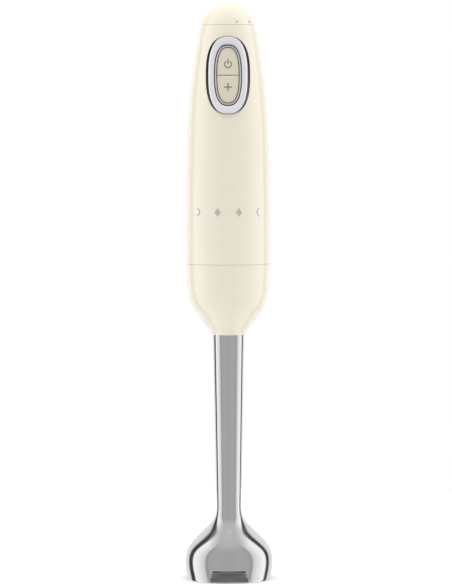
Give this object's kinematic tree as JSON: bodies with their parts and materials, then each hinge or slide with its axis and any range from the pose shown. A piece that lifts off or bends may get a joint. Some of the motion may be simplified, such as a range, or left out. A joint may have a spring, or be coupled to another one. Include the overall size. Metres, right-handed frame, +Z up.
{
  "type": "immersion blender",
  "caption": "Corded stick blender: tapered motor handle with oval push-button panel and speed dial, over a detachable polished steel leg with a notched bell guard and blade.",
  "frame": {"origin": "centre of the bell's rim, on the surface that the blender stands on", "axes": "+Z up along the blender's axis, -Y towards the front with the buttons, +X to the right of someone who faces the buttons"},
  "size_m": [0.0612, 0.0612, 0.405],
  "materials": {
    "casing": "gloss",
    "grip": "matte",
    "bright_trim": "polished",
    "key": "satin",
    "mark": "matte",
    "polished_steel": "polished",
    "inner_plastic": "satin",
    "dark_plastic": "matte",
    "rubber": "matte",
    "board": "satin",
    "capacitor_sleeve": "gloss",
    "lead_sleeve": "satin",
    "aluminium": "satin",
    "steel": "satin",
    "brass": "satin",
    "copper_wire": "gloss",
    "magnet": "matte",
    "carbon": "matte"
  },
  "bodies": {
    "handle": {"front_shell": "casing", "rear_shell": "casing", "rear_grip": "grip", "trim_studs": "bright_trim", "shell_screws": "steel", "bezel": "bright_trim", "bezel_ring": "bright_trim", "button_mat": "rubber", "power_switch": "dark_plastic", "boost_switch": "dark_plastic", "control_board": "board", "capacitor": "capacitor_sleeve", "power_transistor": "dark_plastic", "heat_sink": "aluminium", "dial_seat": "inner_plastic", "detent_spring": "steel", "potentiometer": "dark_plastic", "potentiometer_nut": "steel", "cord_gland": "dark_plastic", "motor_can": "steel", "motor_magnets": "magnet", "motor_end_cap": "inner_plastic", "lower_bearing": "steel", "upper_bearing": "steel", "brush_holders": "brass", "carbon_brushes": "carbon", "brush_springs": "steel", "lower_cushion": "rubber", "upper_cushion": "rubber", "motor_leads": "lead_sleeve", "motor_screws": "steel", "leg_socket": "inner_plastic"},
    "armature": {"motor_shaft": "steel", "armature_core": "steel", "armature_windings": "copper_wire", "commutator": "brass", "cooling_fan": "inner_plastic", "drive_dog": "inner_plastic"},
    "dial": {"speed_dial": "casing", "speed_dots": "mark", "potentiometer_shaft": "steel"},
    "power_key": {"power_button": "key", "power_symbol": "mark"},
    "boost_key": {"boost_button": "key", "boost_symbol": "mark"},
    "power_pin": {"power_plunger": "inner_plastic"},
    "boost_pin": {"boost_plunger": "inner_plastic"},
    "leg": {"leg_collar": "casing", "collar_core": "inner_plastic", "leg_tube": "polished_steel", "bell_guard": "polished_steel", "upper_bush": "brass", "bearing_carrier": "inner_plastic", "lower_bush": "brass", "shaft_seal": "rubber"},
    "spindle": {"drive_shaft": "steel", "drive_coupling": "dark_plastic", "blade_hub": "steel", "blade": "steel", "blade_nut": "steel"}
  },
  "joints": [
    {"name": "dial_turn", "type": "hinge", "parent": "handle", "child": "dial", "pos_m": [0, 0, 0.39], "axis": [0, 0, 1], "range_deg": [-160, 0], "deforming": ["detent_spring"]},
    {"name": "power_press", "type": "slide", "parent": "handle", "child": "power_key", "axis": [0, 1, 0], "range_m": [0, 0.0015], "stiffness_N_per_m": 800, "springref_m": -0.001, "deforming": ["button_mat"]},
    {"name": "boost_press", "type": "slide", "parent": "handle", "child": "boost_key", "axis": [0, 1, 0], "range_m": [0, 0.0015], "stiffness_N_per_m": 800, "springref_m": -0.001, "deforming": ["button_mat"]},
    {"name": "power_pin_slide", "type": "slide", "parent": "handle", "child": "power_pin", "axis": [0, 1, 0], "range_m": [0, 0.0015], "deforming": ["button_mat"]},
    {"name": "boost_pin_slide", "type": "slide", "parent": "handle", "child": "boost_pin", "axis": [0, 1, 0], "range_m": [0, 0.0015], "deforming": ["button_mat"]},
    {"name": "armature_spin", "type": "hinge", "parent": "handle", "child": "armature", "pos_m": [0, 0, 0.28], "axis": [0, 0, 1], "continuous": true},
    {"name": "spindle_spin", "type": "hinge", "parent": "handle", "child": "spindle", "pos_m": [0, 0, 0.12], "axis": [0, 0, 1], "continuous": true},
    {"name": "leg_twist", "type": "hinge", "parent": "handle", "child": "leg", "pos_m": [0, 0, 0.2], "axis": [0, 0, 1], "range_deg": [0, 35]}
  ],
  "couplings": [
    {"joint": "power_pin_slide", "follows": "power_press", "ratio": 1},
    {"joint": "boost_pin_slide", "follows": "boost_press", "ratio": 1},
    {"joint": "spindle_spin", "follows": "armature_spin", "ratio": 1}
  ]
}
